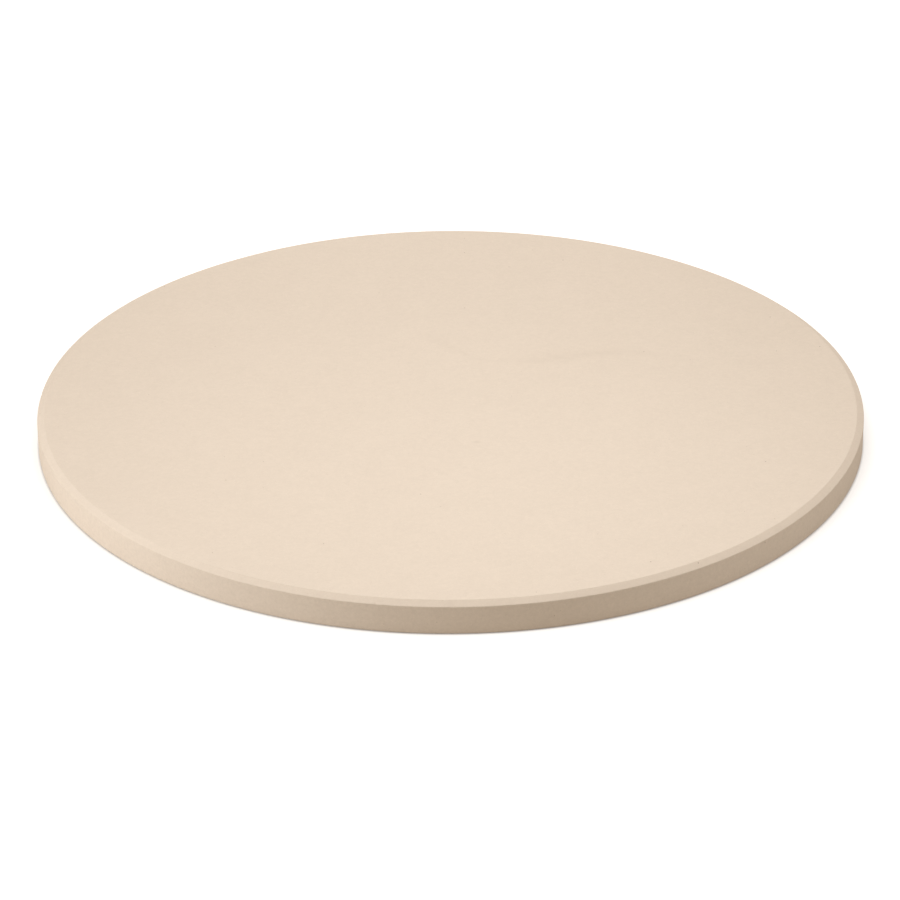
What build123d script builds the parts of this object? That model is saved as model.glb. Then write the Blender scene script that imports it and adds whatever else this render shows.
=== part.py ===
from build123d import *
import os

# A round baking stone for pizza and bread: one slab of matt, porous fired ceramic.
# Millimetres. The origin is the centre of the underside, and +Z is the slab's axis.

# Driving dimensions
stone_diameter = 380.0  # over the wall, a 15 inch stone
stone_thickness = 15.0  # from the underside to the baking face
bevel_width = 3.2  # how far the top bevel runs in from the wall
bevel_drop = 1.7  # how far it falls from the baking face to the wall
bevel_easing = 0.5  # radius that softens the bevel's two edges
arris_easing = 0.9  # radius on the lower edge, which is only rubbed down

# An easing may take up to this much of the shortest straight beside it
easing_limit_share = 0.4

stone_radius = stone_diameter / 2
face_radius = stone_radius - bevel_width  # where the bevel meets the baking face
wall_top = stone_thickness - bevel_drop  # and where it meets the wall


def ease_corner(section, corner, radius, *straights):
    # Rounds one corner by its radius, or by what the straights beside it leave room for
    nearest = section.vertices().sort_by_distance(corner)[0]
    fillet(nearest, min(radius, easing_limit_share * min(straights)))


def half_section():
    # One half of the slab's section, from its axis out to the wall
    lower_corner = (stone_radius, 0)
    bevel_foot = (stone_radius, wall_top)
    bevel_top = (face_radius, stone_thickness)
    face_centre = (0, stone_thickness)
    with BuildSketch(Plane.XZ) as section:
        with BuildLine():
            Polyline((0, 0), lower_corner, bevel_foot, bevel_top, face_centre, close=True)
        make_face()
        ease_corner(section, lower_corner, arris_easing, stone_radius, wall_top)
        ease_corner(section, bevel_foot, bevel_easing, wall_top, bevel_drop, bevel_width)
        ease_corner(section, bevel_top, bevel_easing, bevel_drop, bevel_width, face_radius)
    return section.sketch


def baking_stone():
    # The section turned once round the slab's axis
    with BuildPart() as stone:
        add(half_section())
        revolve(axis=Axis.Z)
    stone.part.label = "baking_stone"
    return stone.part


os.makedirs("parts", exist_ok=True)
export_step(baking_stone(), "parts/baking_stone.step")
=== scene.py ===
# A round pizza stone: one matt slab of pressed and fired cordierite, on a pale studio floor
import math
import random

import bmesh
import bpy
from mathutils import Matrix, Vector


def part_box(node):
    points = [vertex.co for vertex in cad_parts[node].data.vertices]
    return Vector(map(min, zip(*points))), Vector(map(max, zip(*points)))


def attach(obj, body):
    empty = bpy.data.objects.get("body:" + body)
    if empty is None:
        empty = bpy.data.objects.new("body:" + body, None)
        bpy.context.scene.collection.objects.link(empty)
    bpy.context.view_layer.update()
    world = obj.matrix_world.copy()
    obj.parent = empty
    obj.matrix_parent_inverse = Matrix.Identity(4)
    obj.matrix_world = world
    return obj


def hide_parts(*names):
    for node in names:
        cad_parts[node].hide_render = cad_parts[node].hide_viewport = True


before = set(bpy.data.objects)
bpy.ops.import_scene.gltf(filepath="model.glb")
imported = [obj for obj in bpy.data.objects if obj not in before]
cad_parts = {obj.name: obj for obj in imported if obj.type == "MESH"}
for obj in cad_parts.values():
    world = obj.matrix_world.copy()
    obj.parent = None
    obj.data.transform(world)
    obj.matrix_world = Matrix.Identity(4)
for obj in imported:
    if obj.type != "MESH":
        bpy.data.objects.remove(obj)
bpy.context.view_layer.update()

mm = 0.001  # Blender's unit is the metre


# Nodes and colours

def toLinear(hexColour):
    # sRGB hex to the linear colour that shaders and lamps take
    values = [int(hexColour[i:i + 2], 16) / 255 for i in (0, 2, 4)]
    return [v / 12.92 if v <= 0.04045 else ((v + 0.055) / 1.055) ** 2.4 for v in values] + [1]


def addNode(tree, kind, settings):
    # Adds a node: each of its settings and inputs gets a value, or is linked to another node's output
    node = tree.nodes.new(kind)
    for name, value in settings.items():
        if isinstance(value, bpy.types.NodeSocket):
            tree.links.new(value, node.inputs[name])
        elif isinstance(name, int) or name in node.inputs:
            node.inputs[name].default_value = value
        else:
            setattr(node, name, value)
    return node


def emptyTree(owner):
    owner.use_nodes = True
    owner.node_tree.nodes.clear()
    return owner.node_tree


# Cordierite

cordierite = {
    "light": "F2E0CC",  # grog grains, the palest part of the fired body
    "dark": "E4D2BE",  # the clay bond between them
    "pitShade": "A08A72",  # painted shade in the bottom of a pinhole
    "roughness": (0.86, 0.98),
    # each layer has the size of what it stands for, its share of the tone, and how far it stands out
    "layers": {
        "sand": {"size": 0.35 * mm, "share": 0.3, "relief": 0.012 * mm},
        "grit": {"size": 0.8 * mm, "share": 0.5, "relief": 0.02 * mm},
        "clump": {"size": 2.6 * mm, "share": 0.45, "relief": 0.04 * mm},
        "fill": {"size": 12 * mm, "share": 0.22, "relief": 0},
        "mottle": {"size": 50 * mm, "share": 0.15, "relief": 0},
    },
    "grain": {"Detail": 1.0, "Roughness": 0.6},  # of the noise in every layer
    "torn": {"size": 1.5 * mm, "share": 0.8, "relief": 0.06 * mm},  # the wall, as it comes off the die
    "tornGrain": {"Detail": 2.0},
    # how far a normal points up or down where the look of the wall begins, and where it is whole
    "wallFrom": (0.6, 0.2),
    "spotFade": 3,  # a spot is at full strength within its radius divided by this
    # about one spot to each cell, and only a share of the cells hold one
    "spots": {
        "stain": {"cell": 46 * mm, "share": 0.35, "radius": 2.4 * mm, "hex": "C9B49E", "strength": 0.35},
        "iron": {"cell": 7 * mm, "share": 0.12, "radius": 0.35 * mm, "hex": "8A6A4C", "strength": 0.8},
        "grog": {"cell": 1.6 * mm, "share": 0.3, "radius": 0.3 * mm, "hex": "FAEDDC", "strength": 0.35},
        "ash": {"cell": 1.9 * mm, "share": 0.2, "radius": 0.25 * mm, "hex": "C2AA90", "strength": 0.35},
    },
    # a faint curved smear, left where something was dragged over the baking face
    "rub": {
        # along it: X, Y and half its width in mm, and its strength
        "course": ((-12, 64, 6, 0), (-4, 58, 7, 0.06), (6, 47, 6, 0.05), (18, 39.5, 5, 0.035),
                   (33, 39, 8, 0.06), (47, 41.5, 10, 0.09), (61, 44, 7, 0.105), (72, 46.5, 5, 0.1),
                   (81, 47, 6, 0.065), (89, 46, 6, 0.06), (99, 44, 5, 0)),
        "patch": 5,  # mm
        "patchNoise": (0.3, 0.7),  # this range of the noise gives the range of patchiness
        "patchiness": (0.5, 1.3),
        "above": 1.0,  # mm over the underside, which has no rub
        "hex": "C4B09A",
    },
}


def alongRub(tree, x, column):
    # One column of the rub's course as a smooth curve over X
    course = cordierite["rub"]["course"]
    first, last = course[0][0], course[-1][0]
    values = [point[column] for point in course]
    low, high = min(values), max(values)
    share = addNode(tree, "ShaderNodeMapRange", {"Value": x, "From Min": first, "From Max": last})
    curve = addNode(tree, "ShaderNodeFloatCurve", {"Value": share.outputs[0]})
    points = curve.mapping.curves[0].points
    for station in course[1:-1]:
        points.new((station[0] - first) / (last - first), 0)
    for point, value in zip(points, values):
        point.location.y = (value - low) / (high - low)
    curve.mapping.update()
    return addNode(tree, "ShaderNodeMapRange", {"Value": curve.outputs[0], "To Min": low,
                                                "To Max": high}).outputs[0]


def rubMark(tree, place):
    # How much of the rub shows at each place: it fades to its sides, is patchy, and lies on the baking face
    rub = cordierite["rub"]
    inMm = addNode(tree, "ShaderNodeVectorMath", {"operation": "SCALE", 0: place, "Scale": 1 / mm}).outputs[0]
    axes = addNode(tree, "ShaderNodeSeparateXYZ", {0: inMm}).outputs
    middle, width, strength = [alongRub(tree, axes["X"], column) for column in (1, 2, 3)]
    off = addNode(tree, "ShaderNodeMath", {"operation": "SUBTRACT", 0: axes["Y"], 1: middle}).outputs[0]
    gap = addNode(tree, "ShaderNodeMath", {"operation": "ABSOLUTE", 0: off}).outputs[0]
    shown = addNode(tree, "ShaderNodeMapRange", {"interpolation_type": "SMOOTHSTEP", "Value": gap,
                                                 "From Min": width, "From Max": 0.0, "To Min": 0.0,
                                                 "To Max": strength}).outputs[0]
    noise = addNode(tree, "ShaderNodeTexNoise", {"Vector": inMm, "Scale": 1 / rub["patch"]}).outputs["Fac"]
    patches = addNode(tree, "ShaderNodeMapRange", {"Value": noise,
                                                   "From Min": rub["patchNoise"][0],
                                                   "From Max": rub["patchNoise"][1],
                                                   "To Min": rub["patchiness"][0],
                                                   "To Max": rub["patchiness"][1]}).outputs[0]
    upper = addNode(tree, "ShaderNodeMath", {"operation": "GREATER_THAN", 0: axes["Z"],
                                             1: rub["above"]}).outputs[0]
    for factor in (patches, upper):
        shown = addNode(tree, "ShaderNodeMath", {"operation": "MULTIPLY", 0: shown, 1: factor}).outputs[0]
    return shown


def cordieriteMaterial():
    # Cordierite, dry pressed from sandy clay and fired without a glaze: buff, matt and open pored.
    # To the eye it has no gloss at all, a fine sandy grain with pale grog and a little ash in it, and here
    # and there a dark iron grain.
    spec = cordierite
    material = bpy.data.materials.new("cordierite")
    tree = emptyTree(material)
    texture = addNode(tree, "ShaderNodeTexCoord", {})
    place = texture.outputs["Object"]

    # 1 on the upright wall, 0 on the flats and the bevel
    facing = addNode(tree, "ShaderNodeSeparateXYZ", {0: texture.outputs["Normal"]})
    level = addNode(tree, "ShaderNodeMath", {"operation": "ABSOLUTE", 0: facing.outputs["Z"]})
    wall = addNode(tree, "ShaderNodeMapRange", {"Value": level.outputs[0], "From Min": spec["wallFrom"][0],
                                                "From Max": spec["wallFrom"][1], "To Min": 0.0,
                                                "To Max": 1.0}).outputs[0]

    # tone and height are sums over the layers of grain
    tone = 0.5 - sum(layer["share"] for layer in spec["layers"].values()) / 2
    height = 0.0
    for layer in spec["layers"].values():
        noise = addNode(tree, "ShaderNodeTexNoise", {"Vector": place, "Scale": 1 / layer["size"],
                                                     **spec["grain"]}).outputs["Fac"]
        tone = addNode(tree, "ShaderNodeMath", {"operation": "MULTIPLY_ADD", 0: noise, 1: layer["share"],
                                                2: tone}).outputs[0]
        if layer["relief"]:
            height = addNode(tree, "ShaderNodeMath", {"operation": "MULTIPLY_ADD", 0: noise,
                                                      1: layer["relief"], 2: height}).outputs[0]

    # the wall slid along the die as the slab was pushed out, which tore its skin a little
    torn = spec["torn"]
    tears = addNode(tree, "ShaderNodeTexNoise", {"Vector": place, "Scale": 1 / torn["size"],
                                                 **spec["tornGrain"]}).outputs["Fac"]
    onWall = addNode(tree, "ShaderNodeMath", {"operation": "MULTIPLY", 0: tears, 1: wall}).outputs[0]
    tone = addNode(tree, "ShaderNodeMath", {"operation": "MULTIPLY_ADD", 0: onWall, 1: torn["share"],
                                            2: tone}).outputs[0]
    centred = addNode(tree, "ShaderNodeMath", {"operation": "MULTIPLY_ADD", 0: wall, 1: -torn["share"] / 2,
                                               2: tone, "use_clamp": True}).outputs[0]
    height = addNode(tree, "ShaderNodeMath", {"operation": "MULTIPLY_ADD", 0: onWall, 1: torn["relief"],
                                              2: height}).outputs[0]
    body = addNode(tree, "ShaderNodeMix", {"data_type": "RGBA", 0: centred, 6: toLinear(spec["dark"]),
                                           7: toLinear(spec["light"])}).outputs[2]

    # faint stains and the larger grains: round spots in some of the cells
    for spot in spec["spots"].values():
        cells = addNode(tree, "ShaderNodeTexVoronoi", {"Vector": place, "Scale": 1 / spot["cell"]})
        reach = spot["radius"] / spot["cell"]
        disc = addNode(tree, "ShaderNodeMapRange", {"Value": cells.outputs["Distance"], "From Min": reach,
                                                    "From Max": reach / spec["spotFade"], "To Min": 0.0,
                                                    "To Max": spot["strength"]})
        draw = addNode(tree, "ShaderNodeSeparateColor", {0: cells.outputs["Color"]})
        held = addNode(tree, "ShaderNodeMath", {"operation": "LESS_THAN", 0: draw.outputs[0],
                                                1: spot["share"]})
        shown = addNode(tree, "ShaderNodeMath", {"operation": "MULTIPLY", 0: disc.outputs[0],
                                                 1: held.outputs[0]})
        body = addNode(tree, "ShaderNodeMix", {"data_type": "RGBA", 0: shown.outputs[0], 6: body,
                                               7: toLinear(spot["hex"])}).outputs[2]

    rubbed = addNode(tree, "ShaderNodeMix", {"data_type": "RGBA", 0: rubMark(tree, place), 6: body,
                                             7: toLinear(spec["rub"]["hex"])}).outputs[2]

    # pinholes are in the mesh, and painted shade darkens them from the mouth down to the floor
    hole = addNode(tree, "ShaderNodeAttribute", {"attribute_name": "pinhole"})
    pitShaded = addNode(tree, "ShaderNodeMix", {"data_type": "RGBA", 0: hole.outputs["Fac"], 6: rubbed,
                                            7: toLinear(spec["pitShade"])}).outputs[2]

    rough = addNode(tree, "ShaderNodeMapRange", {"Value": centred, "To Min": spec["roughness"][0],
                                                 "To Max": spec["roughness"][1]}).outputs[0]
    relief = addNode(tree, "ShaderNodeBump", {"Height": height, "Distance": 1.0, "Strength": 1.0}).outputs[0]
    ceramic = addNode(tree, "ShaderNodeBsdfPrincipled", {"Base Color": pitShaded, "Roughness": rough,
                                                         "Normal": relief, "Specular IOR Level": 0.1})
    addNode(tree, "ShaderNodeOutputMaterial", {"Surface": ceramic.outputs[0]})
    return material


# The stone

lowest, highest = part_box("baking_stone")

stone = {
    "skin": 0.03 * mm,  # the looks stay this far inside the solid
    "segments": 480,  # round the rim, 2.5 mm each
    "bevelWidth": 3.2 * mm,
    "bevelDrop": 1.7 * mm,
    "bevelEasing": 0.5 * mm,
    "arrisEasing": 0.9 * mm,
    "easingSteps": 4,
    "wallCuts": 5,
    "bevelCuts": 1,
    "faceEdge": 0.6 * mm,  # a narrow ring of faces that ends each flat
    "gridSpan": 120,  # faces across a flat, 3 mm each
    "unevenness": 0.06 * mm,  # how far the faces sank in the kiln, at most
    "unevenSize": 22 * mm,
    "wallEdge": 5 * mm,  # only the wall's upright edges rise more than this
    "bevelEdge": (1 * mm, 1.7 * mm),  # and only the bevel's rise by this much
    "smoothAngle": 40,  # degrees
}

# how much of a face's normal points up or down on a flat, at least, and on the wall, at most
flatFacing = 0.9
wallFacing = 0.1


def pick(kind, test):
    # In edit mode, selects the vertices, edges or faces that pass the test, and nothing else
    bpy.ops.mesh.select_all(action="DESELECT")
    bpy.context.tool_settings.mesh_select_mode = [kind == k for k in ("verts", "edges", "faces")]
    mesh = bmesh.from_edit_mesh(bpy.context.object.data)
    mesh.select_mode = {{"verts": "VERT", "edges": "EDGE", "faces": "FACE"}[kind]}
    for part in getattr(mesh, kind):
        part.select_set(bool(test(part)))
    mesh.select_flush_mode()
    bmesh.update_edit_mesh(bpy.context.object.data)


def onRing(radius, height, near=0.02 * mm):
    # A test for edges that lie on the ring of that radius and height
    def test(edge):
        return all(abs(v.co.z - height) < near and abs(math.hypot(v.co.x, v.co.y) - radius) < near
                   for v in edge.verts)
    return test


radius = highest.x - stone["skin"]
bottom = lowest.z + stone["skin"]
top = highest.z - stone["skin"]
foot = top - stone["bevelDrop"]  # where the bevel meets the wall
faceRadius = radius - stone["bevelWidth"]  # and where it meets the face


def turnedBlank():
    # A disc to the foot of the bevel, the bevel drawn up out of it, and all edges eased
    bpy.ops.object.select_all(action="DESELECT")
    bpy.ops.mesh.primitive_cylinder_add(vertices=stone["segments"], radius=radius, depth=foot - bottom,
                                        location=(0, 0, (foot + bottom) / 2))
    slab = bpy.context.object
    slab.name = slab.data.name = "bakingStone"
    bpy.ops.object.transform_apply(location=True, rotation=True, scale=True)
    bpy.ops.object.mode_set(mode="EDIT")
    pick("faces", lambda face: face.normal.z > flatFacing)
    bpy.ops.mesh.extrude_region_move(TRANSFORM_OT_translate={"value": (0, 0, top - foot)})
    shrink = faceRadius / radius
    bpy.ops.transform.resize(value=(shrink, shrink, 1), center_override=(0, 0, top))
    # a bevel's offset is the easing's radius times the tangent of half the turn
    slope = math.atan2(stone["bevelDrop"], stone["bevelWidth"])
    turns = ((faceRadius, top, slope, stone["bevelEasing"]),
             (radius, foot, math.pi / 2 - slope, stone["bevelEasing"]),
             (radius, bottom, math.pi / 2, stone["arrisEasing"]))
    for ringRadius, height, turn, easing in turns:
        pick("edges", onRing(ringRadius, height))
        bpy.ops.mesh.bevel(offset=easing * math.tan(turn / 2), offset_type="OFFSET", affect="EDGES",
                           segments=stone["easingSteps"], profile=0.5)
    # rings round the wall and the bevel, so that they can sink unevenly too
    pick("edges", lambda edge: abs(edge.verts[0].co.z - edge.verts[1].co.z) > stone["wallEdge"])
    bpy.ops.mesh.subdivide(number_cuts=stone["wallCuts"])
    least, most = stone["bevelEdge"]
    pick("edges", lambda edge: least < abs(edge.verts[0].co.z - edge.verts[1].co.z) < most)
    bpy.ops.mesh.subdivide(number_cuts=stone["bevelCuts"])
    bpy.ops.object.mode_set(mode="OBJECT")
    return slab


chips = {
    "seed": 5,
    "count": 26,
    "reach": (0.5 * mm, 1.1 * mm),
    "depth": (0.10 * mm, 0.22 * mm),
    "cuts": 3,  # the faces there are cut this often, so that they can take the chip
    "offEdge": (-0.3, 0.1),  # mm that a chip lies above the edge
    "span": 1.2,  # faces with their middle within this many segments of the rim are cut
    "core": 0.35 * mm,  # the vertices this near to its middle move the whole depth
    "downward": 0.6,  # how far it goes down for each step inwards
}


def knockChips():
    # Small chips along the edge between bevel and wall, the first edge to be knocked in a kitchen
    draw = random.Random(chips["seed"])
    bpy.ops.object.mode_set(mode="EDIT")
    step = math.tau / stone["segments"]
    for chip in range(chips["count"]):
        angle = step * draw.randrange(stone["segments"])
        reach, depth = draw.uniform(*chips["reach"]), draw.uniform(*chips["depth"])
        outward = Vector((math.cos(angle), math.sin(angle), 0))
        place = outward * radius + Vector((0, 0, foot + draw.uniform(*chips["offEdge"]) * mm))
        near = chips["span"] * step * radius

        def around(face):
            away = face.calc_center_median() - place
            return len(face.verts) == 4 and away.length < near and abs(away.z) < reach

        pick("faces", around)
        bpy.ops.mesh.subdivide(number_cuts=chips["cuts"])
        pick("verts", lambda vert: (vert.co - place).length < chips["core"])
        bpy.ops.transform.translate(value=-depth * (outward + Vector((0, 0, chips["downward"]))),
                                    use_proportional_edit=True, proportional_edit_falloff="SHARP",
                                    proportional_size=reach)
    bpy.ops.object.mode_set(mode="OBJECT")


def griddedFlats():
    # Both flats become grids, which can carry pinholes and sink unevenly
    bpy.ops.object.mode_set(mode="EDIT")
    for side in (1, -1):
        pick("faces", lambda face: face.normal.z * side > flatFacing and len(face.verts) >= stone["segments"])
        bpy.ops.mesh.inset(thickness=stone["faceEdge"])
        bpy.ops.mesh.delete(type="FACE")
        pick("edges", lambda edge: edge.is_boundary)
        bpy.ops.mesh.fill_grid(span=stone["gridSpan"])
    bpy.ops.mesh.select_all(action="SELECT")
    bpy.ops.mesh.normals_make_consistent(inside=False)
    bpy.ops.object.mode_set(mode="OBJECT")


pinholes = {
    "seed": 11,
    # from wide to narrow: the radius, and how many are on the baking face, the underside and the wall
    "kinds": ((0.40 * mm, 5, 22, 3), (0.27 * mm, 22, 60, 14), (0.18 * mm, 60, 90, 36)),
    "depthShare": 0.9,  # of the radius
    "stepShares": (0.45, 0.55),  # of the depth, in two steps, and how much painted shade each gets
    "stepInShare": 0.3,  # of the radius, for each step
    "cornerShare": 0.41,  # of the radius, which makes eight nearly equal sides
    "mouthShare": 4,  # of the radius squared, more than the area of any mouth
    "wander": 0.45 * mm,  # how far one lies from the middle of its face, along each axis
    "room": 4.4 * mm * mm,  # the least face that can hold one
    "give": 8 * mm,  # the faces this near to a seen one shift with it
    # the places of the wide ones that the picture shows on the baking face
    "seen": ((140.4 * mm, -117.5 * mm), (-4.6 * mm, -105.1 * mm), (-54.8 * mm, -137.8 * mm)),
}


def sinkPinholes(slab):
    # Air that was pressed in with the powder leaves small round pits in every face
    draw = random.Random(pinholes["seed"])
    slab.data.attributes.new("pinhole", "FLOAT", "POINT")
    bpy.ops.object.mode_set(mode="EDIT")
    mesh = bmesh.from_edit_mesh(slab.data)
    # each vertex's share of the painted shade in its pit, stored in the pinhole attribute
    pitShadeLayer = mesh.verts.layers.float["pinhole"]

    def whole(face):
        return len(face.verts) == 4 and face.calc_area() > pinholes["room"]

    def deepen(share, mouth):
        bpy.ops.mesh.inset(thickness=pinholes["stepInShare"] * mouth,
                           depth=-share * pinholes["depthShare"] * mouth, use_individual=True)
        for face in bmesh.from_edit_mesh(slab.data).faces:
            if face.select:
                for vert in face.verts:
                    vert[pitShadeLayer] = share

    def hub(vert):
        return len(vert.link_faces) == 4 and all(len(face.verts) == 3 for face in vert.link_faces)

    seen = [Vector((x, y, top)) for x, y in pinholes["seen"]]
    for pitRadius, onTop, onUnderside, onWall in pinholes["kinds"]:
        quads = [face for face in mesh.faces if whole(face)]
        sides = ((lambda face: face.normal.z > flatFacing, onTop),
                 (lambda face: face.normal.z < -flatFacing, onUnderside),
                 (lambda face: abs(face.normal.z) < wallFacing, onWall))
        chosen = set()
        for side, count in sides:
            chosen.update(draw.sample([face.index for face in quads if side(face)], count))
        for place in seen:
            chosen.add(min(quads, key=lambda face: (face.calc_center_median() - place).length).index)
        pick("faces", lambda face: face.index in chosen)
        bpy.ops.mesh.poke()
        for height, upward in ((top, 1), (bottom, -1)):
            pick("verts", lambda vert: hub(vert) and vert.normal.z * upward > flatFacing)
            bpy.ops.transform.vertex_random(offset=pinholes["wander"], seed=pinholes["seed"])
            bpy.ops.transform.resize(value=(1, 1, 0), center_override=(0, 0, height))
        for place in seen:
            hubs = [vert for vert in mesh.verts if hub(vert)]
            nearest = min(hubs, key=lambda vert: (vert.co - place).length)
            pick("verts", lambda vert: vert == nearest)
            bpy.ops.transform.translate(value=place - nearest.co, use_proportional_edit=True,
                                        proportional_edit_falloff="SMOOTH",
                                        proportional_size=pinholes["give"])
        pick("verts", hub)
        bpy.ops.mesh.bevel(offset=pitRadius, offset_type="OFFSET", affect="VERTICES", segments=1)
        # its four corners are cut off, which makes it nearly round
        bpy.ops.mesh.bevel(offset=pinholes["cornerShare"] * pitRadius, offset_type="OFFSET",
                           affect="VERTICES", segments=1)
        largest = pinholes["mouthShare"] * pitRadius ** 2
        pick("faces", lambda face: len(face.verts) == 8 and face.calc_area() < largest
             and all(vert[pitShadeLayer] == 0 for vert in face.verts))
        for share in pinholes["stepShares"]:
            deepen(share, pitRadius)
        seen = []  # they are all of the widest kind, which comes first
    bpy.ops.object.mode_set(mode="OBJECT")


def sinkUnevenly(slab):
    # Flat work never leaves the kiln quite flat: every face sinks a little here and there
    unevenness = bpy.data.textures.new("unevenness", "CLOUDS")
    unevenness.noise_scale = stone["unevenSize"]
    unevenness.noise_depth = 1
    bpy.ops.object.modifier_add(type="DISPLACE")
    sinking = slab.modifiers[-1]
    sinking.texture = unevenness
    sinking.texture_coords = "LOCAL"
    sinking.direction = "NORMAL"
    sinking.mid_level = 1  # only ever inwards
    sinking.strength = stone["unevenness"]
    bpy.ops.object.modifier_apply(modifier=sinking.name)


slab = turnedBlank()
knockChips()
griddedFlats()
sinkPinholes(slab)
sinkUnevenly(slab)
bpy.ops.object.shade_smooth_by_angle(angle=math.radians(stone["smoothAngle"]))
bpy.ops.object.modifier_add(type="WEIGHTED_NORMAL")
slab.modifiers[-1].keep_sharp = True
bpy.ops.object.modifier_apply(modifier=slab.modifiers[-1].name)
slab.data.materials.append(cordieriteMaterial())
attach(slab, "root")
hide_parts("baking_stone")
print("stone:", len(slab.data.polygons), "faces")


# Camera, fitted to the slab's outline in the picture

view = {
    "lens": 152.49,  # mm
    "sensor": 36,  # mm
    "pitch": 27.6296,  # degrees below the horizon
    "roll": 0.2938,
    "distance": 1765.93 * mm,
    "farthest": 100,  # m, to see all of the floor
    "aim": (-0.33 * mm, -4.99 * mm, -9.54 * mm),
}


def addCamera():
    data = bpy.data.cameras.new("camera")
    data.sensor_width = view["sensor"]
    data.lens = view["lens"]
    data.clip_end = view["farthest"]
    camera = bpy.data.objects.new("camera", data)
    bpy.context.scene.collection.objects.link(camera)
    pitch = math.radians(view["pitch"])
    forward = Vector((0, math.cos(pitch), -math.sin(pitch)))
    place = Vector(view["aim"]) - view["distance"] * forward
    tilt = Matrix.Rotation(math.pi / 2 - pitch, 4, "X") @ Matrix.Rotation(-math.radians(view["roll"]), 4, "Z")
    camera.matrix_world = Matrix.Translation(place) @ tilt
    bpy.context.scene.camera = camera


addCamera()
print("camera placed")


# Studio: a plain pale room with warm paper on the floor, and five softboxes of cool daylight

studio = {
    "floorSize": 12.0,  # m
    "paper": "CBC6BF",  # the tone that bounces light up at the stone
    "roomLight": 0.391,
    "room": (1.0, 0.90, 0.775),
    "daylight": (1.0, 1.063, 1.142),
    # the white that the camera sees on top of the lit paper: some everywhere, and more from the stone
    # outwards, each step between two distances from the middle. Less white near the stone and under its foot
    # is painted
    # shadow: it deepens the paper's real shadow into a dark line at the foot
    "underWhite": 0.25,
    "whiteSteps": ((189.7 * mm, 190.8 * mm, 0.40), (195 * mm, 400 * mm, 0.35)),
}

# each softbox is a square panel that faces its aim
softboxes = {
    "left": {"place": (-0.516, -0.298, 0.073), "aim": (0, 0, 0), "size": 0.14, "watts": 0.95},
    "overRight": {"place": (0.05, -0.15, 0.45), "aim": (0.05, -0.15, 0), "size": 0.27, "watts": 0.74},
    "overLeft": {"place": (-0.12, -0.10, 0.60), "aim": (-0.12, -0.10, 0), "size": 0.36, "watts": 0.54},
    "back": {"place": (-0.05, 0.81, 0.38), "aim": (-0.05, 0, 0), "size": 0.40, "watts": 3.2},
    "rightFill": {"place": (0.957, -0.256, 0.139), "aim": (0, 0, 0), "size": 0.26, "watts": 0.90},
}


def addSoftbox(name, place, aim, size, watts):
    data = bpy.data.lights.new(name, "AREA")
    data.size = size
    data.energy = watts
    data.color = studio["daylight"]
    lamp = bpy.data.objects.new(name, data)
    bpy.context.scene.collection.objects.link(lamp)
    lamp.location = place
    lamp.rotation_euler = (Vector(aim) - Vector(place)).to_track_quat("-Z", "Y").to_euler()
    lamp.visible_camera = False


def seenDirectly(tree):
    # 1 where the camera looks straight at a surface, or by way of a mirror or glass
    path = addNode(tree, "ShaderNodeLightPath", {})
    either = addNode(tree, "ShaderNodeMath", {"operation": "MAXIMUM", 0: path.outputs["Is Camera Ray"],
                                              1: path.outputs["Is Glossy Ray"]})
    anyOfThem = addNode(tree, "ShaderNodeMath", {"operation": "MAXIMUM", 0: either.outputs[0],
                                                 1: path.outputs["Is Transmission Ray"]})
    return anyOfThem.outputs[0]


def floorMaterial():
    # Pale matt paper: it bounces light as such, and to the eye it is white but for the stone's soft shadow,
    # which less white near the stone deepens with painted shadow, darkest in a line at the foot
    material = bpy.data.materials.new("paperFloor")
    tree = emptyTree(material)
    paper = addNode(tree, "ShaderNodeBsdfDiffuse", {"Color": toLinear(studio["paper"])}).outputs[0]
    place = addNode(tree, "ShaderNodeTexCoord", {}).outputs["Object"]
    away = addNode(tree, "ShaderNodeVectorMath", {"operation": "LENGTH", 0: place}).outputs["Value"]
    # less white near the stone: painted shadow round the foot, on top of the paper's real shadow
    white = studio["underWhite"]
    for start, end, growth in studio["whiteSteps"]:
        share = addNode(tree, "ShaderNodeMapRange", {"Value": away, "From Min": start,
                                                     "From Max": end}).outputs[0]
        white = addNode(tree, "ShaderNodeMath", {"operation": "MULTIPLY_ADD", 0: share, 1: growth,
                                                 2: white}).outputs[0]
    glow = addNode(tree, "ShaderNodeEmission", {"Strength": white}).outputs[0]
    lit = addNode(tree, "ShaderNodeAddShader", {0: paper, 1: glow}).outputs[0]
    mix = addNode(tree, "ShaderNodeMixShader", {0: seenDirectly(tree), 1: paper, 2: lit}).outputs[0]
    addNode(tree, "ShaderNodeOutputMaterial", {"Surface": mix})
    return material


def addFloor():
    bpy.ops.object.select_all(action="DESELECT")
    bpy.ops.mesh.primitive_plane_add(size=studio["floorSize"], location=(0, 0, lowest.z))
    floor = bpy.context.object
    floor.name = "paperFloor"
    floor.data.materials.append(floorMaterial())


def addWorld():
    world = bpy.data.worlds.new("studio")
    bpy.context.scene.world = world
    tree = emptyTree(world)
    room = addNode(tree, "ShaderNodeBackground", {"Color": (*studio["room"], 1),
                                                  "Strength": studio["roomLight"]}).outputs[0]
    white = addNode(tree, "ShaderNodeBackground", {"Color": (1, 1, 1, 1), "Strength": 1.0}).outputs[0]
    mix = addNode(tree, "ShaderNodeMixShader", {0: seenDirectly(tree), 1: room, 2: white}).outputs[0]
    addNode(tree, "ShaderNodeOutputWorld", {"Surface": mix})


addFloor()
addWorld()
for name, spec in softboxes.items():
    addSoftbox(name, **spec)
bpy.context.scene.view_settings.view_transform = "Standard"
print("studio lit")
